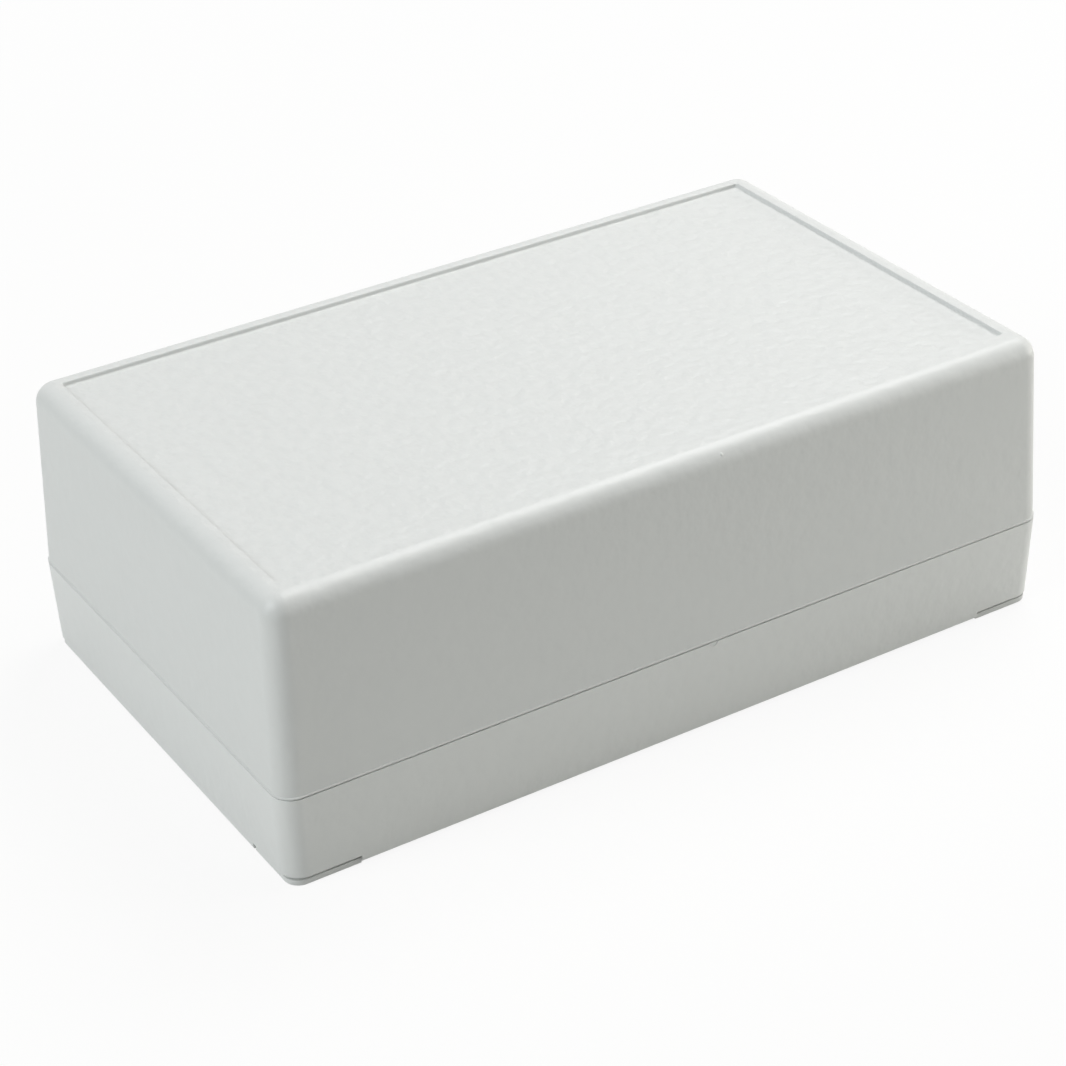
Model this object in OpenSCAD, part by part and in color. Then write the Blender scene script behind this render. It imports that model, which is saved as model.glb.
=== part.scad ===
// Two-part moulded project box: a tall cover screwed down on a shallow base.
// Millimetres. X runs along the box, Z up, origin under the middle of the feet.

/* [Case] */
// Outside length at the parting line
case_l = 150; // [130:1:200]
// Outside width at the parting line
case_w = 89.5; // [80:0.5:130]
// Height from the feet to the top rim
case_h = 51.5; // [46:0.5:80]
// Height of the parting line above the feet
split_h = 16.9; // [15:0.1:19]
// Wall thickness
wall_t = 2.2; // [2:0.1:2.6]
// Thickness of the base's floor
floor_t = 2.5; // [2:0.1:3]
// Thickness of the cover's top at its rim
top_t = 3; // [2.6:0.1:4]
// Slope of the side walls away from the parting line, in degrees
draft = 2; // [1:0.25:3]

/* [Edges] */
// Radius of the upright corners
corner_r = 3.6; // [3.6:0.1:5]
// Radius of the cover's top edges
edge_r = 3.4; // [2:0.1:3.4]
// Edge break round the cover's lower lip
lip_break = 0.3; // [0.1:0.05:0.35]
// Edge break round the base's rim
rim_break = 0.1; // [0.1:0.05:0.3]
// Edge break round the base's underside
sole_break = 0.3; // [0.1:0.05:0.4]

/* [Parting joint] */
// Height of the shadow gap between the two lips
gap_h = 0.15; // [0.1:0.05:0.5]
// Thickness of the cover's outer lip
lip_t = 1; // [0.8:0.1:1.1]
// Clearance between the lip and the base's tongue
lip_clear = 0.2; // [0.1:0.05:0.3]
// Height of the base's tongue above its rim
tongue_h = 2.2; // [1.5:0.1:2.6]

/* [Label recess] */
// Rim left at the back and the ends, measured from the walls' slope
recess_margin = 4.4; // [4:0.1:8]
// Rim left along the front, measured the same way
recess_front = 5.8; // [4:0.1:9]
// Depth of the recess
recess_depth = 0.85; // [0.4:0.05:1.2]

/* [Feet] */
// Length of a foot along each side of its corner
foot_l = 12.6; // [12:0.1:16]
// How far the feet stand below the floor
foot_drop = 0.5; // [0.3:0.05:1]
// Thickness of a foot's pad
foot_h = 1; // [0.8:0.05:1.2]
// How far a foot's sides stand back from the walls
foot_setback = 0.35; // [0.1:0.05:0.5]
// Height of the groove between a foot's pad and the wall over it
groove_h = 0.65; // [0.3:0.05:0.7]
// Depth of that groove, measured from the pad's sides
groove_d = 0.8; // [0.5:0.1:1]

/* [Case screws] */
// Distance of each screw from the two walls of its corner
screw_inset = 7.6; // [7.6:0.1:8]
// Radius of the screw head
head_r = 2.7; // [2.5:0.1:2.8]
// Height of the screw head
head_h = 1.9; // [1.6:0.1:2.1]
// Radius of the screw's core
core_r = 1.1; // [0.9:0.05:1.15]
// Length of the screw under its head
screw_l = 20; // [18:1:22]
// Radius of the well that the head sinks in
well_r = 3.2; // [3:0.1:3.3]
// Depth of the well from the foot
well_depth = 5; // [4.5:0.1:6]
// Radius of the hole for the shank in the base
shank_hole_r = 1.6; // [1.5:0.05:1.8]
// Radius of the pilot hole in the cover
pilot_r = 1.2; // [1.18:0.01:1.3]
// Depth of the pilot hole in the cover
pilot_depth = 13; // [12:0.5:16]

/* [Board posts] */
// Distance between the posts along the box
post_span_x = 110; // [80:1:112]
// Distance between the posts across the box
post_span_y = 60; // [40:1:62]
// Height of the posts above the floor
post_h = 4.5; // [3:0.5:6]
// Radius of a post at its top
post_r = 2.8; // [2.4:0.1:3.2]
// Radius of the pilot hole in a post
post_hole_r = 1.1; // [0.9:0.05:1.25]

/* [Board slots] */
// Number of slots along each long wall
slot_count = 4; // [2:1:5]
// Distance between slots
slot_pitch = 26; // [20:1:28]
// Width of a slot
slot_w = 1.9; // [1.2:0.1:2.5]
// How far the slot's ribs stand out of the wall at the parting line
slot_rib_d = 2; // [1.5:0.1:2.4]

/* [Hidden] */

$fn = 48;
grey = [0.87, 0.88, 0.87];
steel = [0.72, 0.73, 0.75];

arc_steps = 12;          // facets in an upright corner
round_steps = 10;        // facets in the cover's top edge
fillet_steps = 3;        // facets in an inside edge
hair = 0.001;            // thickness of the slices that a shell is stretched over
over = 1;                // how far a cutter runs past what it cuts

slope = tan(draft);
base_rim = split_h - gap_h / 2;
cover_lip = split_h + gap_h / 2;
floor_z = foot_drop + floor_t;
foot_step = foot_h + groove_h;
ceiling_z = case_h - top_t;
inside_r = corner_r - wall_t;
fillet_r = 1;            // inside edges of floor and ceiling
tongue_inset = lip_t + lip_clear;
rebate_top = base_rim + tongue_h + 0.5;

screw_x = case_l / 2 - screw_inset;
screw_y = case_w / 2 - screw_inset;
base_pillar_r = 4;       // at its top, and a little more at the floor
cover_pillar_r = 3.5;    // at its mouth, and a little more at the ceiling
pillar_taper = 0.5;
web_t = 1.6;             // webs that tie a pillar to the walls
web_drop = 3;            // webs stop this far short of the parting joint
tip_l = 2.2;             // pointed end of the screw
head_round = 0.8;        // rounded edge of the pan head
drive_l = 3;             // cross recess in the head
drive_w = 0.8;
drive_depth = 1.1;

slot_rib_t = 1.2;
slot_clear = 4;          // slots start this far above the tongue
wall_bite = 0.5;         // how far ribs and webs run into the wall they stand on

pip_x = 7.8;             // gate pip on the cover's front edge
pip_r = 0.45;
pip_rise = 0.12;
pip_angle = 40;          // its place round the edge, up from the wall
nick_x = 5;              // gate nick in the base's front rim
nick_r = 0.8;
nick_depth = 0.25;

// Inset of the outer wall's face at height z
function wall_inset(z) = abs(z - split_h) * slope;

// Rounded rectangle: the case outline moved in by inset, with corner radius r
function outline(inset, r) = [
    for (corner = [0:3], i = [0:arc_steps])
        let (a = 90 * (corner + i / arc_steps),
             side_x = corner == 0 || corner == 3 ? 1 : -1,
             side_y = corner < 2 ? 1 : -1)
        [side_x * (case_l / 2 - inset - r) + r * cos(a),
         side_y * (case_w / 2 - inset - r) + r * sin(a)]
];

// Slices of the cover's outside as [height, inset, corner radius]
edge_centre_z = case_h - edge_r;
edge_centre_inset = wall_inset(edge_centre_z) + edge_r / cos(draft);
cover_slices = concat(
    [[cover_lip, wall_inset(cover_lip) + lip_break, corner_r - lip_break],
     [cover_lip + lip_break, wall_inset(cover_lip + lip_break), corner_r]],
    [for (i = [0:round_steps])
        let (a = draft + (90 - draft) * i / round_steps)
        [edge_centre_z + edge_r * sin(a),
         edge_centre_inset - edge_r * cos(a),
         corner_r - edge_r * (1 - cos(a))]]
);

// Slices of the base's outside
base_slices = [
    [foot_drop, wall_inset(foot_drop) + sole_break, corner_r - sole_break],
    [foot_drop + sole_break, wall_inset(foot_drop + sole_break), corner_r],
    [base_rim - rim_break, wall_inset(base_rim - rim_break), corner_r],
    [base_rim, wall_inset(base_rim) + rim_break, corner_r - rim_break]
];

// Slices of a hollow whose closed end lies at end_z, and whose mouth at mouth_z
function hollow_slices(end_z, mouth_z) =
    let (up = sign(mouth_z - end_z))
    concat(
        [[mouth_z, wall_t + up * (split_h - mouth_z) * slope, inside_r]],
        [for (i = [0:fillet_steps])
            let (a = 90 * i / fillet_steps)
            [end_z + up * fillet_r * (1 - sin(a)),
             wall_t + wall_inset(end_z) + fillet_r * (1 - cos(a)),
             inside_r - fillet_r * (1 - cos(a))]]
    );

module slices_hull(slices) {
    hull()
        for (s = slices)
            translate([0, 0, s[0] - hair / 2])
                linear_extrude(hair) polygon(outline(s[1], s[2]));
}

module at_corners(x, y) {
    for (sx = [-1, 1], sy = [-1, 1]) translate([sx * x, sy * y, 0]) children();
}

// Straight prism of the case outline
module outline_prism(inset, z0, z1) {
    translate([0, 0, z0])
        linear_extrude(z1 - z0) polygon(outline(inset, corner_r - inset));
}

// Webs from each screw pillar to both walls of its corner
module pillar_webs(z0, z1) {
    reach = screw_inset - wall_t + wall_bite;
    for (sx = [-1, 1], sy = [-1, 1])
        translate([sx * screw_x, sy * screw_y, z0]) {
            translate([sx * reach / 2, 0, (z1 - z0) / 2]) cube([reach, web_t, z1 - z0], center = true);
            translate([0, sy * reach / 2, (z1 - z0) / 2]) cube([web_t, reach, z1 - z0], center = true);
        }
}

// Blocks round the four corners, as long as a foot, up to height z1
module corner_blocks(z0, z1) {
    sole_inset = wall_inset(0);
    at_corners(case_l / 2 - sole_inset, case_w / 2 - sole_inset)
        translate([-foot_l, -foot_l, z0]) cube([2 * foot_l, 2 * foot_l, z1 - z0]);
}

// One layer of all four feet, set back by inset from the walls
module foot_layer(inset, z0, z1) {
    intersection() {
        corner_blocks(z0, z1);
        outline_prism(wall_inset(0) + inset, z0, z1);
    }
}

// Corner pads on a neck that is set back further, so that a groove runs over each pad
module feet() {
    foot_layer(foot_setback, 0, foot_h);
    foot_layer(foot_setback + groove_d, foot_h, foot_step);
}

module tray_shell() {
    difference() {
        union() {
            slices_hull(base_slices);
            outline_prism(tongue_inset, split_h - over, base_rim + tongue_h);
        }
        slices_hull(hollow_slices(floor_z, base_rim + tongue_h + over));
        corner_blocks(-over, foot_step);
        translate([nick_x, -case_w / 2, base_rim])
            rotate([90, 0, 0]) cylinder(r = nick_r, h = 2 * nick_depth, center = true);
    }
}

module board_posts() {
    at_corners(post_span_x / 2, post_span_y / 2)
        translate([0, 0, floor_z - wall_bite])
            cylinder(r1 = post_r + 0.2, r2 = post_r, h = post_h + wall_bite);
}

module base() {
    color(grey)
        difference() {
            union() {
                tray_shell();
                feet();
                at_corners(screw_x, screw_y)
                    translate([0, 0, foot_step - wall_bite])
                        cylinder(r1 = base_pillar_r + pillar_taper, r2 = base_pillar_r,
                                 h = split_h - foot_step + wall_bite);
                pillar_webs(floor_z - wall_bite, base_rim - web_drop);
                board_posts();
            }
            at_corners(screw_x, screw_y) {
                translate([0, 0, -over]) cylinder(r = well_r, h = well_depth + over);
                cylinder(r = shank_hole_r, h = split_h + over);
            }
            at_corners(post_span_x / 2, post_span_y / 2)
                translate([0, 0, floor_z - over / 2]) cylinder(r = post_hole_r, h = post_h + over);
        }
}

module cover_shell() {
    difference() {
        slices_hull(cover_slices);
        slices_hull(hollow_slices(ceiling_z, split_h - over));
        outline_prism(lip_t, split_h - over, rebate_top);
    }
}

module label_recess() {
    inset = wall_inset(case_h) + recess_margin;
    front_inset = wall_inset(case_h) + recess_front;
    translate([inset - case_l / 2, front_inset - case_w / 2, case_h - recess_depth])
        cube([case_l - 2 * inset, case_w - inset - front_inset, recess_depth + over]);
}

// Pairs of ribs on the long walls that hold boards on edge
module board_slots() {
    z0 = rebate_top + slot_clear;
    rib_h = ceiling_z + wall_bite - z0;
    rib_l = slot_rib_d + wall_t / 2;
    rib_y = case_w / 2 - wall_t / 2 - rib_l / 2 - wall_inset(ceiling_z) / 2;
    for (k = [0:slot_count - 1], side = [-1, 1], sy = [-1, 1])
        translate([(k - (slot_count - 1) / 2) * slot_pitch + side * (slot_w + slot_rib_t) / 2,
                   sy * rib_y, z0 + rib_h / 2])
            cube([slot_rib_t, rib_l, rib_h], center = true);
}

module cover() {
    color(grey)
        difference() {
            union() {
                cover_shell();
                at_corners(screw_x, screw_y)
                    translate([0, 0, split_h])
                        cylinder(r1 = cover_pillar_r, r2 = cover_pillar_r + pillar_taper,
                                 h = ceiling_z + wall_bite - split_h);
                pillar_webs(rebate_top + web_drop, ceiling_z + wall_bite);
                board_slots();
                gate_pip();
            }
            at_corners(screw_x, screw_y)
                translate([0, 0, split_h - over]) cylinder(r = pilot_r, h = pilot_depth + over);
            label_recess();
        }
}

module gate_pip() {
    reach = edge_r - pip_r + pip_rise;
    y = case_w / 2 - edge_centre_inset + reach * cos(pip_angle);
    translate([pip_x, -y, edge_centre_z + reach * sin(pip_angle)]) sphere(r = pip_r);
}

// Pan-head self-tapping screw, head down, seated at the bottom of its well
module case_screw() {
    head_bottom = well_depth - head_h;
    round_points = [for (i = [0:4])
        let (a = -90 + 90 * i / 4)
        [head_r - head_round + head_round * cos(a), head_bottom + head_round + head_round * sin(a)]];
    difference() {
        rotate_extrude()
            polygon(concat([[0, head_bottom]], round_points,
                [[head_r, well_depth], [core_r, well_depth],
                 [core_r, well_depth + screw_l - tip_l], [0, well_depth + screw_l]]));
        for (turn = [0, 90])
            rotate([0, 0, turn])
                translate([0, 0, head_bottom])
                    cube([drive_l, drive_w, 2 * drive_depth], center = true);
    }
}

module case_screws() {
    color(steel) at_corners(screw_x, screw_y) case_screw();
}

base();
cover();
case_screws();
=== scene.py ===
import math
import bpy
from mathutils import Matrix, Vector


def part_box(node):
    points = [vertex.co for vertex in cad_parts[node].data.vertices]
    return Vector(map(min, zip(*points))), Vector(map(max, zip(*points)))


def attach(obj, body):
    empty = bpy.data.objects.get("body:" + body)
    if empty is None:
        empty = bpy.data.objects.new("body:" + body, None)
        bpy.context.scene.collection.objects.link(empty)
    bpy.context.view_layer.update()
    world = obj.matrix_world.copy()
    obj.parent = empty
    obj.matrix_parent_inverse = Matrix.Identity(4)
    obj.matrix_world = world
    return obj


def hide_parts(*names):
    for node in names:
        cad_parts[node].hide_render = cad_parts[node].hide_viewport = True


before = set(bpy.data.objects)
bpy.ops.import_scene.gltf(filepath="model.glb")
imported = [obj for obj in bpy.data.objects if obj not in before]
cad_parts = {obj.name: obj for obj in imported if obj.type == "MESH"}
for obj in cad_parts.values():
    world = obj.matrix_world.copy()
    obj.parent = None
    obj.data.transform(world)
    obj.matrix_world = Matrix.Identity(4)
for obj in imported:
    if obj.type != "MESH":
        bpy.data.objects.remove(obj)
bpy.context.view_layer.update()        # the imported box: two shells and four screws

mm = 0.001               # pieces are shaped in millimetres and brought to metres at the end
near = 0.02              # how close, in millimetres, a height has to be to count as the same
past = 1                 # how far cutting pieces run past the surface that they open
level = 0.9              # least part of a normal along Z for a face that lies level
fineSteps = 4            # steps in a small rounding
roughSteps = 2           # steps in a rounding that hardly shows


# Moves that are used on every piece: pick by place, then shape in edit mode.

def deselectAll():
    bpy.ops.object.select_all(action="DESELECT")


def activate(piece):
    deselectAll()
    piece.select_set(True)
    bpy.context.view_layer.objects.active = piece


def takeName(name):      # the object just added gets its name, and its place goes into its mesh
    piece = bpy.context.object
    piece.name = name
    activate(piece)
    bpy.ops.object.transform_apply(location=True, rotation=True, scale=True)
    return piece


def addBlock(name, low, high):
    deselectAll()
    size = Vector(high) - Vector(low)
    middle = (Vector(high) + Vector(low)) / 2
    bpy.ops.mesh.primitive_cube_add(size=1, location=middle, scale=size)
    return takeName(name)


def addRod(name, place, low, high, lowRadius, highRadius, sides=64):
    deselectAll()
    middle = (place[0], place[1], (low + high) / 2)
    bpy.ops.mesh.primitive_cone_add(vertices=sides, radius1=lowRadius, radius2=highRadius,
                                    depth=high - low, location=middle)
    return takeName(name)


def clearPicks(piece, mode):
    bpy.context.tool_settings.mesh_select_mode = [mode == m for m in ("VERT", "EDGE", "FACE")]
    for parts in (piece.data.vertices, piece.data.edges, piece.data.polygons):
        parts.foreach_set("select", [False] * len(parts))


def pickFaces(piece, test):      # test(centre, normal)
    clearPicks(piece, "FACE")
    for face in piece.data.polygons:
        face.select = test(face.center, face.normal)


def pickEdges(piece, test):      # test(one end, other end)
    clearPicks(piece, "EDGE")
    points = piece.data.vertices
    for edge in piece.data.edges:
        one, other = edge.vertices
        edge.select = test(points[one].co, points[other].co)


def pickPoints(piece, test):     # test(place)
    clearPicks(piece, "VERT")
    for point in piece.data.vertices:
        point.select = test(point.co)


def edit(piece, *moves):         # each move is (operator, settings)
    activate(piece)
    bpy.ops.object.mode_set(mode="EDIT")
    for operator, settings in moves:
        operator(**settings)
    bpy.ops.object.mode_set(mode="OBJECT")


def bevelPicked(width, steps):
    return bpy.ops.mesh.bevel, dict(offset=width, offset_type="OFFSET", segments=steps, profile=0.5,
                                    affect="EDGES", clamp_overlap=False)


def insetPicked(width):
    return bpy.ops.mesh.inset, dict(thickness=width, use_even_offset=True)


def pullPicked(height):
    return bpy.ops.mesh.extrude_region_move, dict(TRANSFORM_OT_translate={"value": (0, 0, height)})


def sizePicked(factorX, factorY):
    return bpy.ops.transform.resize, dict(value=(factorX, factorY, 1), center_override=(0, 0, 0))


rimOfPicked = (bpy.ops.mesh.region_to_loop, {})


def middleFace(height):          # the face that lies across the middle at this height
    return lambda centre, normal: (abs(centre.z - height) < near and abs(centre.x) < 1
                                   and abs(centre.y) < 1 and abs(normal.z) > level)


def levelFaces(height):
    return lambda centre, normal: abs(centre.z - height) < near and abs(normal.z) > level


def uprightEdges(one, other):    # the rise is several times the run
    return abs(one.z - other.z) > 5 * math.hypot(one.x - other.x, one.y - other.y)


def gather(pieces):              # several meshes become the first one
    activate(pieces[0])
    for piece in pieces:
        piece.select_set(True)
    bpy.ops.object.join()
    return bpy.context.object


def mirrorToCorners(piece):      # one corner's shape is repeated at the other three
    activate(piece)
    mirror = piece.modifiers.new("corners", "MIRROR")
    mirror.use_axis = (True, True, False)
    mirror.use_mirror_merge = False
    bpy.ops.object.modifier_apply(modifier=mirror.name)
    pickFaces(piece, lambda centre, normal: True)
    edit(piece, (bpy.ops.mesh.normals_make_consistent, dict(inside=False)))
    return piece


def combine(piece, tool, operation):
    activate(piece)
    step = piece.modifiers.new("combine", "BOOLEAN")
    step.operation = operation
    step.solver = "EXACT"
    step.object = tool
    bpy.ops.object.modifier_apply(modifier=step.name)
    bpy.data.objects.remove(tool)


def joinOn(piece, tool):
    combine(piece, tool, "UNION")


def cutAway(piece, tool):
    combine(piece, tool, "DIFFERENCE")


def finishPiece(piece, body, node, material, smoothAngle=32):
    pickPoints(piece, lambda place: True)
    edit(piece, (bpy.ops.mesh.remove_doubles, dict(threshold=0.001)),
         (bpy.ops.transform.resize, dict(value=(mm, mm, mm), center_override=(0, 0, 0))))
    activate(piece)
    bpy.ops.object.shade_smooth_by_angle(angle=math.radians(smoothAngle))
    weigh = piece.modifiers.new("weigh normals", "WEIGHTED_NORMAL")
    weigh.keep_sharp = True
    bpy.ops.object.modifier_apply(modifier=weigh.name)
    piece.data.materials.clear()
    piece.data.materials.append(material)
    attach(piece, body)
    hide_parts(node)
    print(piece.name, "finished:", len(piece.data.polygons), "faces")


cameraSet = {
    "target": (-3.23, -2.25, 19.72),   # millimetres
    "azimuth": -31.10,                 # degrees round from the front
    "elevation": 30.81,
    "distance": 496.7,
    "roll": -2.08,
    "lens": 97.06,
}


def makeCamera(c):
    data = bpy.data.cameras.new("camera")
    camera = bpy.data.objects.new("camera", data)
    bpy.context.scene.collection.objects.link(camera)
    turn = math.radians(c["azimuth"])
    rise = math.radians(c["elevation"])
    back = Vector((math.sin(turn) * math.cos(rise), -math.cos(turn) * math.cos(rise), math.sin(rise)))
    aim = (-back).to_track_quat("-Z", "Y").to_matrix().to_4x4()
    place = Matrix.Translation((Vector(c["target"]) + back * c["distance"]) * mm)
    camera.matrix_world = place @ aim @ Matrix.Rotation(math.radians(c["roll"]), 4, "Z")
    data.lens = c["lens"]
    data.sensor_width = 36
    data.clip_start = 0.01
    bpy.context.scene.camera = camera


lampSet = {                            # place and width in metres, power in watts
    "leftWindow": {"place": (-0.78, -0.08, 0.80), "width": 0.50, "power": 4.7,
                   "colour": (0.965, 1.0, 1.0)},
    "leftLow": {"place": (-1.00, 0.00, 0.45), "width": 0.50, "power": 2.4,
                "colour": (0.965, 1.0, 1.0)},
    "overhead": {"place": (0.33, 0.18, 0.62), "width": 0.35, "power": 2.7,
                 "colour": (1.0, 0.995, 0.99)},
    "overFront": {"place": (0.20, -0.10, 0.75), "width": 0.35, "power": 1.4,
                  "colour": (1.0, 0.995, 0.96)},
    "lowRight": {"place": (0.70, -0.30, 0.08), "width": 0.35, "power": 3.15,
                 "colour": (1.0, 0.99, 0.92)},
}


def makeLamp(name, place, width, power, colour):
    data = bpy.data.lights.new(name, "AREA")
    data.size = width
    data.energy = power
    data.color = colour
    lamp = bpy.data.objects.new(name, data)
    bpy.context.scene.collection.objects.link(lamp)
    aim = (Vector((0, 0, 0.02)) - Vector(place)).to_track_quat("-Z", "Y").to_matrix().to_4x4()
    lamp.matrix_world = Matrix.Translation(place) @ aim


def whiteRays(nodes, links):     # 1 for camera, mirror and glass rays, which see the plain white surround
    rays = nodes.new("ShaderNodeLightPath")
    sighted = rays.outputs["Is Camera Ray"]
    for name in ("Is Glossy Ray", "Is Transmission Ray"):
        either = nodes.new("ShaderNodeMath")
        either.operation = "MAXIMUM"
        links.new(sighted, either.inputs[0])
        links.new(rays.outputs[name], either.inputs[1])
        sighted = either.outputs[0]
    return sighted


worldLight = 0.02        # what the surround adds to the lamps


def makeWorld():
    world = bpy.data.worlds.new("studio")
    bpy.context.scene.world = world
    world.use_nodes = True
    nodes, links = world.node_tree.nodes, world.node_tree.links
    light = nodes["Background"]
    light.inputs["Strength"].default_value = worldLight
    light.inputs["Color"].default_value = (1, 1, 1, 1)
    white = nodes.new("ShaderNodeBackground")
    white.inputs["Color"].default_value = (1, 1, 1, 1)
    mix = nodes.new("ShaderNodeMixShader")
    links.new(whiteRays(nodes, links), mix.inputs["Fac"])
    links.new(light.outputs[0], mix.inputs[1])
    links.new(white.outputs[0], mix.inputs[2])
    links.new(mix.outputs[0], nodes["World Output"].inputs["Surface"])


floorSet = {             # metres; the floor's own shading, with the shadow, fades out into plain white
    "width": 12,
    "colour": (0.82, 0.82, 0.80, 1),
    "fadeFrom": 0.12,
    "fadeTo": 0.55,
    "whiteness": 0.9,
}


def makeFloor(f):
    deselectAll()
    bpy.ops.mesh.primitive_plane_add(size=f["width"], location=(0, 0, -0.1 * mm))
    floor = takeName("floor")
    material = bpy.data.materials.new("paleFloor")
    material.use_nodes = True
    nodes, links = material.node_tree.nodes, material.node_tree.links
    paper = nodes["Principled BSDF"]
    paper.inputs["Base Color"].default_value = f["colour"]
    paper.inputs["Roughness"].default_value = 0.9
    paper.inputs["Specular IOR Level"].default_value = 0.1
    white = nodes.new("ShaderNodeEmission")
    place = nodes.new("ShaderNodeTexCoord")
    distance = nodes.new("ShaderNodeVectorMath")
    distance.operation = "LENGTH"
    fade = nodes.new("ShaderNodeMapRange")
    fade.inputs["From Min"].default_value = f["fadeFrom"]
    fade.inputs["From Max"].default_value = f["fadeTo"]
    fade.inputs["To Min"].default_value = f["whiteness"]
    fade.inputs["To Max"].default_value = 1
    share = nodes.new("ShaderNodeMath")
    share.operation = "MULTIPLY"
    mix = nodes.new("ShaderNodeMixShader")
    links.new(place.outputs["Object"], distance.inputs[0])
    links.new(distance.outputs["Value"], fade.inputs["Value"])
    links.new(fade.outputs["Result"], share.inputs[0])
    links.new(whiteRays(nodes, links), share.inputs[1])
    links.new(share.outputs[0], mix.inputs["Fac"])
    links.new(paper.outputs[0], mix.inputs[1])
    links.new(white.outputs[0], mix.inputs[2])
    links.new(mix.outputs[0], nodes["Material Output"].inputs["Surface"])
    floor.data.materials.append(material)


makeCamera(cameraSet)
for lampName, lamp in lampSet.items():
    makeLamp(lampName, **lamp)
makeWorld()
makeFloor(floorSet)
bpy.context.scene.view_settings.view_transform = "Standard"
print("camera, lamps, world and floor are set")


def makeGrainGroup():    # moulded grain: small bumps with a trace of tone, and a broad drift in gloss
    group = bpy.data.node_groups.new("mouldGrain", "ShaderNodeTree")
    for name, value in (("Grain Scale", 400), ("Gloss Scale", 45), ("Roughness", 0.4), ("Gloss Drift", 0.1)):
        socket = group.interface.new_socket(name, in_out="INPUT", socket_type="NodeSocketFloat")
        socket.default_value = value
    for name in ("Grain", "Roughness"):
        group.interface.new_socket(name, in_out="OUTPUT", socket_type="NodeSocketFloat")
    nodes, links = group.nodes, group.links
    inputs = nodes.new("NodeGroupInput")
    outputs = nodes.new("NodeGroupOutput")
    place = nodes.new("ShaderNodeTexCoord")
    grain = nodes.new("ShaderNodeTexNoise")
    grain.inputs["Detail"].default_value = 2
    grain.inputs["Roughness"].default_value = 0.4
    broad = nodes.new("ShaderNodeTexNoise")
    broad.inputs["Detail"].default_value = 2
    links.new(place.outputs["Object"], grain.inputs["Vector"])
    links.new(place.outputs["Object"], broad.inputs["Vector"])
    links.new(inputs.outputs["Grain Scale"], grain.inputs["Scale"])
    links.new(inputs.outputs["Gloss Scale"], broad.inputs["Scale"])
    drift = nodes.new("ShaderNodeMath")          # (broad - 0.5) * drift + roughness
    drift.operation = "SUBTRACT"
    drift.inputs[1].default_value = 0.5
    gloss = nodes.new("ShaderNodeMath")
    gloss.operation = "MULTIPLY_ADD"
    links.new(broad.outputs["Fac"], drift.inputs[0])
    links.new(drift.outputs[0], gloss.inputs[0])
    links.new(inputs.outputs["Gloss Drift"], gloss.inputs[1])
    links.new(inputs.outputs["Roughness"], gloss.inputs[2])
    links.new(grain.outputs["Fac"], outputs.inputs["Grain"])
    links.new(gloss.outputs[0], outputs.inputs["Roughness"])
    return group


grainGroup = makeGrainGroup()

plasticSet = {           # grain scales are per metre, bump depth in metres
    "coverPlastic": {"dark": (0.664, 0.676, 0.669, 1), "pale": (0.676, 0.688, 0.681, 1), "grain": 400,
                     "gloss": 45, "roughness": 0.44, "drift": 0.06, "bump": 0.00015},
    # the base is the cover's plastic made about 6% paler: painted light for the light bounced up from the
    # white floor onto the base's walls
    "basePlasticPaintedBounce": {"dark": (0.704, 0.716, 0.709, 1), "pale": (0.716, 0.728, 0.721, 1), "grain": 400,
                    "gloss": 45, "roughness": 0.44, "drift": 0.06, "bump": 0.00015},
    "topPlastic": {"dark": (0.645, 0.656, 0.649, 1), "pale": (0.695, 0.706, 0.699, 1), "grain": 500,
                   "gloss": 60, "roughness": 0.46, "drift": 0.08, "bump": 0.00034},
}


def makePlastic(name, dark, pale, grain, gloss, roughness, drift, bump):
    material = bpy.data.materials.new(name)
    material.use_nodes = True
    nodes, links = material.node_tree.nodes, material.node_tree.links
    shader = nodes["Principled BSDF"]
    shader.inputs["IOR"].default_value = 1.52
    surface = nodes.new("ShaderNodeGroup")
    surface.node_tree = grainGroup
    surface.inputs["Grain Scale"].default_value = grain
    surface.inputs["Gloss Scale"].default_value = gloss
    surface.inputs["Roughness"].default_value = roughness
    surface.inputs["Gloss Drift"].default_value = drift
    colour = nodes.new("ShaderNodeMix")
    colour.data_type = "RGBA"
    colour.inputs["A"].default_value = dark
    colour.inputs["B"].default_value = pale
    relief = nodes.new("ShaderNodeBump")
    relief.inputs["Distance"].default_value = bump
    links.new(surface.outputs["Grain"], colour.inputs["Factor"])
    links.new(colour.outputs["Result"], shader.inputs["Base Color"])
    links.new(surface.outputs["Roughness"], shader.inputs["Roughness"])
    links.new(surface.outputs["Grain"], relief.inputs["Height"])
    links.new(relief.outputs["Normal"], shader.inputs["Normal"])
    return material


steelSet = {"dark": (0.50, 0.50, 0.51, 1), "pale": (0.64, 0.64, 0.65, 1), "grain": 4000, "gloss": 900,
            "roughness": 0.3, "drift": 0.15, "bump": 0.000004}


def makeSteel(s):
    steel = makePlastic("screwSteel", **s)
    steel.node_tree.nodes["Principled BSDF"].inputs["Metallic"].default_value = 1
    return steel


plastics = {name: makePlastic(name, **values) for name, values in plasticSet.items()}
screwSteel = makeSteel(steelSet)
print("finishes are made")


def nodeBox(node):
    low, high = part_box(node)
    return low / mm, high / mm


coverLow, coverHigh = nodeBox("cover")
screwHigh = nodeBox("case_screws")[1]

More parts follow.
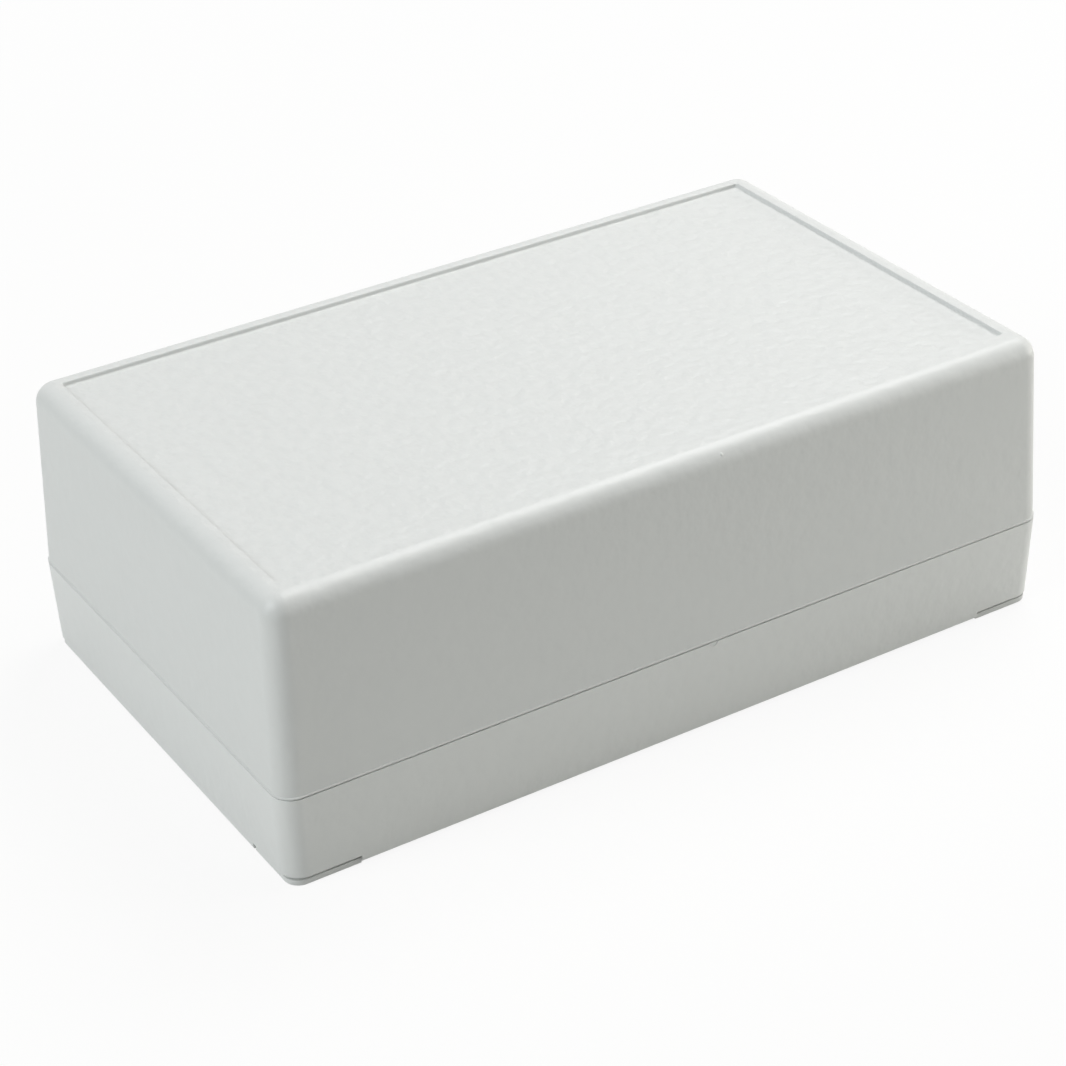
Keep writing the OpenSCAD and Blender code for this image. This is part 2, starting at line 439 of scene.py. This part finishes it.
shellSet = {             # sizes that both shells share, in millimetres
    "gap": 0.15,         # shadow gap between the shells
    "slope": math.tan(math.radians(2)),
    "cornerRadius": 3.6,
    "wall": 2.2,
    "lip": 1.0,          # the cover's lip, outside the base's tongue
    "lipClear": 0.2,
    "lipBreak": 0.3,     # how far above its edge the cover is widest
    "lipRound": 0.1,     # edge of the cover's lip
    "rimRound": 0.1,     # edge of the base's rim
    "tongue": 2.2,
    "cornerSteps": 16,
    "insideRound": 1.0,
    "web": 1.6,          # webs from the screw pillars to the walls
    "webShort": 3.0,
    "bite": 0.5,         # how far webs and ribs run into a wall
    "taper": 0.5,        # how much a pillar widens towards its root
    "headRadius": 2.7,
    "insideSteps": 5,
    "pillarRound": 0.2,
}
splitZ = coverLow.z
coverLipZ = splitZ + shellSet["gap"] / 2
baseRimZ = splitZ - shellSet["gap"] / 2
widest = shellSet["slope"] * (shellSet["gap"] / 2 + shellSet["lipBreak"])
shy = 0.008              # the shells are this much small, so that no point rounds to outside the CAD's box
halfX = coverHigh.x + widest - shy     # the walls' faces at the parting line
halfY = coverHigh.y + widest - shy
topZ = coverHigh.z - shy
screwX = screwHigh.x - shellSet["headRadius"]
screwY = screwHigh.y - shellSet["headRadius"]


def wallInset(height):
    return abs(height - splitZ) * shellSet["slope"]


def fitRatio(inset, wanted):           # scale that takes an outline from one inset to another
    return (halfX - wanted) / (halfX - inset), (halfY - wanted) / (halfY - inset)


def shellBlock(name, openZ, closedZ):  # drafted block with rounded upright corners
    low, high = min(openZ, closedZ), max(openZ, closedZ)
    block = addBlock(name, (-halfX, -halfY, low), (halfX, halfY, high))
    pickFaces(block, levelFaces(closedZ))
    edit(block, sizePicked(*fitRatio(0, wallInset(closedZ))))
    pickFaces(block, levelFaces(openZ))
    edit(block, sizePicked(*fitRatio(0, wallInset(openZ))))
    pickEdges(block, uprightEdges)
    edit(block, bevelPicked(shellSet["cornerRadius"], shellSet["cornerSteps"]))
    return block


def sinkHollow(shell, mouthZ, mouthInset, endZ):   # the picked face goes down to the hollow's end
    endInset = shellSet["wall"] + wallInset(endZ)
    edit(shell, pullPicked(endZ - mouthZ), sizePicked(*fitRatio(mouthInset, endInset)))
    pickFaces(shell, middleFace(endZ))
    edit(shell, rimOfPicked, bevelPicked(shellSet["insideRound"], shellSet["insideSteps"]))


def cornerPillars(name, rootZ, tipZ, tipRadius, webLow, webHigh):
    s = shellSet
    rootRadius = tipRadius + s["taper"]
    low, high = min(rootZ, tipZ), max(rootZ, tipZ)
    radii = (rootRadius, tipRadius) if rootZ < tipZ else (tipRadius, rootRadius)
    pillar = addRod(name, (screwX, screwY), low, high, *radii)
    pickFaces(pillar, levelFaces(tipZ))
    edit(pillar, rimOfPicked, bevelPicked(s["pillarRound"], roughSteps))
    reach = halfX - screwX - s["wall"] + s["bite"]
    half = s["web"] / 2
    webX = addBlock("webX", (screwX, screwY - half, webLow), (screwX + reach, screwY + half, webHigh))
    webY = addBlock("webY", (screwX - half, screwY, webLow), (screwX + half, screwY + reach, webHigh))
    joinOn(pillar, webX)
    joinOn(pillar, webY)
    return mirrorToCorners(pillar)


coverSet = {
    "bead": 0.14,        # the lip ends in a bead that stands this far proud
    "beadFace": 0.25,
    "edgeRadius": 3.4,
    "edgeSteps": 14,
    "top": 3.0,
    "margin": 4.4,       # rim left round the label recess, from the walls' slope
    "frontMargin": 5.8,
    "recess": 0.85,
    "recessCorner": 0.5,
    "recessRim": 0.45,   # rounding of the edge round the recess
    "recessFillet": 0.35,
    "rebateClear": 0.5,  # room over the tongue
    "pillarRadius": 3.5,
    "pilotRadius": 1.2,
    "pilotDepth": 13,
    "slots": 4,
    "slotPitch": 26,
    "slotWidth": 1.9,
    "rib": 1.2,
    "ribDepth": 2.0,
    "ribClear": 4,
    "ribRound": 0.2,
    "pipX": 7.8,
    "pipRadius": 0.45,
    "pipRise": 0.12,
    "pipAngle": math.radians(40),
}


def addLipBead(cover):           # the walls draw in a little, and the lip stays proud as a bead
    c = coverSet
    pickPoints(cover, lambda place: True)
    edit(cover, sizePicked(*fitRatio(0, c["bead"])))
    pickPoints(cover, lambda place: place.z < coverLipZ + near)
    edit(cover, (bpy.ops.transform.translate, dict(value=(0, 0, c["bead"] + c["beadFace"]))))
    pickFaces(cover, middleFace(coverLipZ + c["bead"] + c["beadFace"]))
    edit(cover, pullPicked(-c["bead"]), sizePicked(*fitRatio(c["bead"], 0)), pullPicked(-c["beadFace"]))


def roundTopEdge(cover, edgeInset):
    c = coverSet
    bend = math.pi / 2 - math.atan(shellSet["slope"])    # a little less than a right angle
    pickFaces(cover, middleFace(topZ))
    edit(cover, rimOfPicked, bevelPicked(c["edgeRadius"] * math.tan(bend / 2), c["edgeSteps"]))
    for sideX in (-1, 1):                                # the tiny corner arcs on top become square
        for sideY in (-1, 1):
            pickPoints(cover, lambda p: p.z > topZ - near and p.x * sideX > 0 and p.y * sideY > 0)
            edit(cover, (bpy.ops.mesh.merge, dict(type="CENTER")))
    top = [p.co for p in cover.data.vertices if p.co.z > topZ - near]
    nowX = max(p.x for p in top)
    nowY = max(p.y for p in top)
    pickPoints(cover, lambda p: p.z > topZ - near)
    edit(cover, sizePicked((halfX - edgeInset) / nowX, (halfY - edgeInset) / nowY))


def sinkRecess(cover, edgeInset):
    c = coverSet
    inset = wallInset(topZ) + c["margin"]
    backY = halfY - inset
    frontY = wallInset(topZ) + c["frontMargin"] - halfY
    floorZ = topZ - c["recess"]
    pickFaces(cover, middleFace(topZ))
    edit(cover, insetPicked(inset - edgeInset))
    pickPoints(cover, lambda p: p.z > topZ - near and p.y < 0 and abs(p.x) < halfX - inset + near
               and abs(p.y) < backY + near)
    edit(cover, (bpy.ops.transform.translate, dict(value=(0, frontY + backY, 0))))
    pickFaces(cover, middleFace(topZ))
    edit(cover, pullPicked(-c["recess"]))
    inside = lambda p: (abs(p.x) < halfX - inset + near and frontY - near < p.y < backY + near
                        and floorZ - near < p.z < topZ + near)
    pickEdges(cover, lambda a, b: inside(a) and inside(b) and uprightEdges(a, b))
    edit(cover, bevelPicked(c["recessCorner"], fineSteps))
    pickEdges(cover, lambda a, b: inside(a) and inside(b) and min(a.z, b.z) > topZ - near)
    edit(cover, bevelPicked(c["recessRim"], fineSteps))
    pickFaces(cover, middleFace(floorZ))
    edit(cover, rimOfPicked, bevelPicked(c["recessFillet"], fineSteps))


def openCover(cover):
    s, c = shellSet, coverSet
    rebateZ = baseRimZ + s["tongue"] + c["rebateClear"]
    mouthInset = s["wall"] + wallInset(rebateZ)
    pickFaces(cover, middleFace(coverLipZ))
    edit(cover, insetPicked(s["lip"]), pullPicked(rebateZ - coverLipZ), insetPicked(mouthInset - s["lip"]))
    sinkHollow(cover, rebateZ, mouthInset, topZ - c["top"])
    pickFaces(cover, levelFaces(coverLipZ))
    edit(cover, rimOfPicked, bevelPicked(s["lipRound"], fineSteps))
    return rebateZ


def addBoardSlots(cover, rebateZ):
    s, c = shellSet, coverSet
    ceiling = topZ - c["top"]
    low = rebateZ + c["ribClear"]
    high = ceiling + s["bite"]
    outer = halfY - s["wall"] / 2 - wallInset(ceiling) / 2
    inner = outer - c["ribDepth"] - s["wall"] / 2
    ribs = []
    for index in range(c["slots"] // 2):                 # one quarter of the ribs, mirrored to the rest
        for side in (-1, 1):
            x = (index + 0.5) * c["slotPitch"] + side * (c["slotWidth"] + c["rib"]) / 2
            rib = addBlock("rib", (x - c["rib"] / 2, inner, low), (x + c["rib"] / 2, outer, high))
            pickEdges(rib, lambda a, b: max(a.y, b.y) < inner + near)
            edit(rib, bevelPicked(c["ribRound"], roughSteps))
            ribs.append(rib)
    joinOn(cover, mirrorToCorners(gather(ribs)))


def addGatePip(cover, edgeInset):
    c = coverSet
    reach = c["edgeRadius"] - c["pipRadius"] + c["pipRise"]
    y = halfY - edgeInset + reach * math.cos(c["pipAngle"])
    z = topZ - c["edgeRadius"] + reach * math.sin(c["pipAngle"])
    deselectAll()
    bpy.ops.mesh.primitive_uv_sphere_add(segments=32, ring_count=16, radius=c["pipRadius"],
                                         location=(c["pipX"], -y, z))
    joinOn(cover, takeName("gatePip"))


def makeCover():
    c = coverSet
    cover = shellBlock("coverShell", coverLipZ, topZ)
    addLipBead(cover)
    edgeInset = (c["bead"] + wallInset(topZ - c["edgeRadius"])
                 + c["edgeRadius"] * math.hypot(1, shellSet["slope"]))
    roundTopEdge(cover, edgeInset)
    sinkRecess(cover, edgeInset)
    rebateZ = openCover(cover)
    ceiling = topZ - c["top"]
    bite = shellSet["bite"]
    joinOn(cover, cornerPillars("pillars", ceiling + bite, splitZ, c["pillarRadius"],
                                rebateZ + shellSet["webShort"], ceiling + bite))
    addBoardSlots(cover, rebateZ)
    addGatePip(cover, edgeInset)
    pilot = addRod("pilots", (screwX, screwY), splitZ - past, splitZ + c["pilotDepth"],
                   c["pilotRadius"], c["pilotRadius"], 40)
    cutAway(cover, mirrorToCorners(pilot))
    finishPiece(cover, "cover", "cover", plastics["coverPlastic"])
    cover.data.materials.append(plastics["topPlastic"])
    grained = (topZ * mm, (topZ - c["recess"]) * mm)
    for face in cover.data.polygons:             # the rim and the recess floor have a stronger grain
        if face.normal.z > 0.99 and any(abs(face.center.z - height) < near * mm for height in grained):
            face.material_index = 1


makeCover()


baseSet = {
    "drop": 0.5,         # the feet stand this far below the sole
    "floor": 2.5,
    "soleRound": 0.3,
    "foot": 12.6,        # length of a foot along each wall
    "pad": 1.0,
    "setback": 0.35,
    "groove": 0.65,
    "grooveDepth": 0.8,
    "padRound": 0.15,
    "pillarRadius": 4.0,
    "wellRadius": 3.2,
    "wellDepth": 5.0,
    "shankHole": 1.6,
    "postX": 55.0,
    "postY": 30.0,
    "postHeight": 4.5,
    "postRadius": 2.8,
    "postHole": 1.1,
    "nickX": 5.0,
    "nickRadius": 0.8,
    "nickDepth": 0.12,
    "rimSteps": 3,
    "cornerReach": 5,    # a foot's outer upright edge is this near the corner
    "padOver": 0.02,     # the pad and the neck run this far past the notch, so that they join
    "neckOver": 0.01,
    "neckBite": 0.3,     # how far the neck runs into the pad and the sole
    "pillarLift": 0.2,   # the pillars start this far above the pads' tops
    "postTaper": 0.2,
    "postRound": 0.15,
}


def cornerBlock(name, inset, low, high, over=0.0):
    b = baseSet
    end = wallInset(0) + b["foot"] + over
    return addBlock(name, (halfX - end, halfY - end, low), (halfX - inset, halfY - inset, high))


def outerCorner(one, other):
    reach = baseSet["cornerReach"]
    return (uprightEdges(one, other) and min(one.x, other.x) > halfX - reach
            and min(one.y, other.y) > halfY - reach)


def addFeet(base):
    b = baseSet
    stepZ = b["pad"] + b["groove"]
    cutAway(base, mirrorToCorners(cornerBlock("notch", -2 * past, -past, stepZ)))
    padInset = wallInset(0) + b["setback"]
    neckInset = padInset + b["grooveDepth"]
    pad = cornerBlock("pad", padInset, 0, b["pad"], over=b["padOver"])
    pickEdges(pad, outerCorner)
    edit(pad, bevelPicked(shellSet["cornerRadius"] - padInset, shellSet["cornerSteps"]))
    pickFaces(pad, levelFaces(0))
    edit(pad, rimOfPicked, bevelPicked(b["padRound"], b["rimSteps"]))
    neck = cornerBlock("neck", neckInset, b["pad"] - b["neckBite"], stepZ + b["neckBite"],
                       over=b["neckOver"])
    pickEdges(neck, outerCorner)
    edit(neck, bevelPicked(shellSet["cornerRadius"] - neckInset, shellSet["cornerSteps"]))
    joinOn(pad, neck)
    joinOn(base, mirrorToCorners(pad))


def openBase(base):
    s, b = shellSet, baseSet
    tongueInset = s["lip"] + s["lipClear"]
    tongueZ = baseRimZ + s["tongue"]
    pickFaces(base, middleFace(baseRimZ))
    edit(base, insetPicked(tongueInset), pullPicked(s["tongue"]), insetPicked(s["wall"] - tongueInset))
    sinkHollow(base, tongueZ, s["wall"], b["drop"] + b["floor"])
    for height in (baseRimZ, tongueZ):
        pickFaces(base, levelFaces(height))
        edit(base, rimOfPicked, bevelPicked(s["rimRound"], b["rimSteps"]))


def makeBase():
    s, b = shellSet, baseSet
    base = shellBlock("baseShell", baseRimZ, b["drop"])
    pickFaces(base, middleFace(b["drop"]))
    edit(base, rimOfPicked, bevelPicked(b["soleRound"], fineSteps))
    openBase(base)
    addFeet(base)
    floorZ = b["drop"] + b["floor"]
    joinOn(base, cornerPillars("pillars", b["pad"] + b["pillarLift"], splitZ, b["pillarRadius"],
                               floorZ - s["bite"], baseRimZ - s["webShort"]))
    postPlace = (b["postX"], b["postY"])
    postRoot = floorZ - s["bite"]
    postTop = floorZ + b["postHeight"]
    post = addRod("posts", postPlace, postRoot, postTop, b["postRadius"] + b["postTaper"], b["postRadius"])
    pickFaces(post, levelFaces(postTop))
    edit(post, rimOfPicked, bevelPicked(b["postRound"], roughSteps))
    joinOn(base, mirrorToCorners(post))
    for name, place, low, high, radius in (
            ("wells", (screwX, screwY), -past, b["wellDepth"], b["wellRadius"]),
            ("shankHoles", (screwX, screwY), 0, splitZ + past, b["shankHole"]),
            ("postHoles", postPlace, postRoot, postTop + past, b["postHole"])):
        cutAway(base, mirrorToCorners(addRod(name, place, low, high, radius, radius)))
    nick = addRod("nick", (0, 0), -b["nickDepth"], b["nickDepth"], b["nickRadius"], b["nickRadius"])
    nickPlace = Matrix.Translation((b["nickX"], -halfY, baseRimZ))
    nick.matrix_world = nickPlace @ Matrix.Rotation(math.pi / 2, 4, "X")
    cutAway(base, nick)
    # the base's finish is the cover's plastic made paler, with painted floor bounce light
    finishPiece(base, "base", "base", plastics["basePlasticPaintedBounce"])


makeBase()


screwSet = {           # self-tapping, pan head, cross recess
    "headHeight": 1.9,
    "headRound": 0.8,
    "coreRadius": 1.1,
    "length": 20,
    "tip": 2.2,
    "threadRadius": 1.45,
    "pitch": 1.1,
    "threadBase": 0.5,
    "turns": 15,
    "driveLength": 3.0,
    "driveWidth": 0.8,
    "driveDepth": 1.1,
    "driveTaper": 0.6,   # the recess's floor, as a share of its mouth
    "headSteps": 6,
    "coreSides": 40,
    "coreBite": 0.5,     # how far the core runs into the head
    "point": 0.06,       # the tip's end, as a share of the core
    "threadBite": 0.15,
    "threadStart": 0.6,
    "threadSteps": 32,
    "smooth": 40,
}


def makeScrew():
    w = screwSet
    seatZ = baseSet["wellDepth"]
    headZ = seatZ - w["headHeight"]
    tipZ = seatZ + w["length"]
    screw = addRod("caseScrews", (0, 0), headZ, seatZ, shellSet["headRadius"], shellSet["headRadius"])
    pickFaces(screw, levelFaces(headZ))
    edit(screw, rimOfPicked, bevelPicked(w["headRound"], w["headSteps"]))
    long, wide = w["driveLength"] / 2, w["driveWidth"] / 2
    mouthZ, endZ = headZ - past, headZ + w["driveDepth"]
    drive = addBlock("drive", (-long, -wide, mouthZ), (long, wide, endZ))
    cross = addBlock("cross", (-wide, -long, mouthZ), (wide, long, endZ))
    for slot in (drive, cross):
        pickFaces(slot, levelFaces(endZ))
        edit(slot, sizePicked(w["driveTaper"], w["driveTaper"]))
    joinOn(drive, cross)
    cutAway(screw, drive)
    core = addRod("core", (0, 0), seatZ - w["coreBite"], tipZ - w["tip"],
                  w["coreRadius"], w["coreRadius"], w["coreSides"])
    pickFaces(core, levelFaces(tipZ - w["tip"]))
    edit(core, pullPicked(w["tip"]), sizePicked(w["point"], w["point"]))
    joinOn(screw, core)
    return screw


def makeThread():
    w = screwSet
    deselectAll()
    bpy.ops.mesh.primitive_circle_add(vertices=3, radius=1, location=(0, 0, 0))
    ridge = takeName("thread")
    inner = w["coreRadius"] - w["threadBite"]
    corners = ((inner, 0, 0), (inner, 0, w["threadBase"]), (w["threadRadius"], 0, w["threadBase"] / 2))
    for point, place in zip(ridge.data.vertices, corners):
        point.co = place
    wind = ridge.modifiers.new("wind", "SCREW")
    wind.angle = 2 * math.pi
    wind.screw_offset = w["pitch"]
    wind.iterations = w["turns"]
    wind.steps = w["threadSteps"]
    wind.render_steps = w["threadSteps"]
    wind.use_merge_vertices = False
    activate(ridge)
    bpy.ops.object.modifier_apply(modifier=wind.name)
    pickPoints(ridge, lambda place: True)
    start = baseSet["wellDepth"] + w["threadStart"]
    edit(ridge, (bpy.ops.mesh.fill_holes, dict(sides=3)),
         (bpy.ops.mesh.normals_make_consistent, dict(inside=False)),
         (bpy.ops.transform.translate, dict(value=(0, 0, start))))
    return ridge


def makeScrews():
    screw = makeScrew()
    joinOn(screw, makeThread())
    copies = []
    for sideX in (-1, 1):
        for sideY in (-1, 1):
            activate(screw)
            bpy.ops.object.duplicate(linked=False)
            copy = bpy.context.object
            pickPoints(copy, lambda place: True)
            place = (sideX * screwX, sideY * screwY, 0)
            edit(copy, (bpy.ops.transform.translate, dict(value=place)))
            copies.append(copy)
    bpy.data.objects.remove(screw)
    screws = gather(copies)
    screws.name = "caseScrews"
    finishPiece(screws, "base", "case_screws", screwSteel, screwSet["smooth"])


makeScrews()
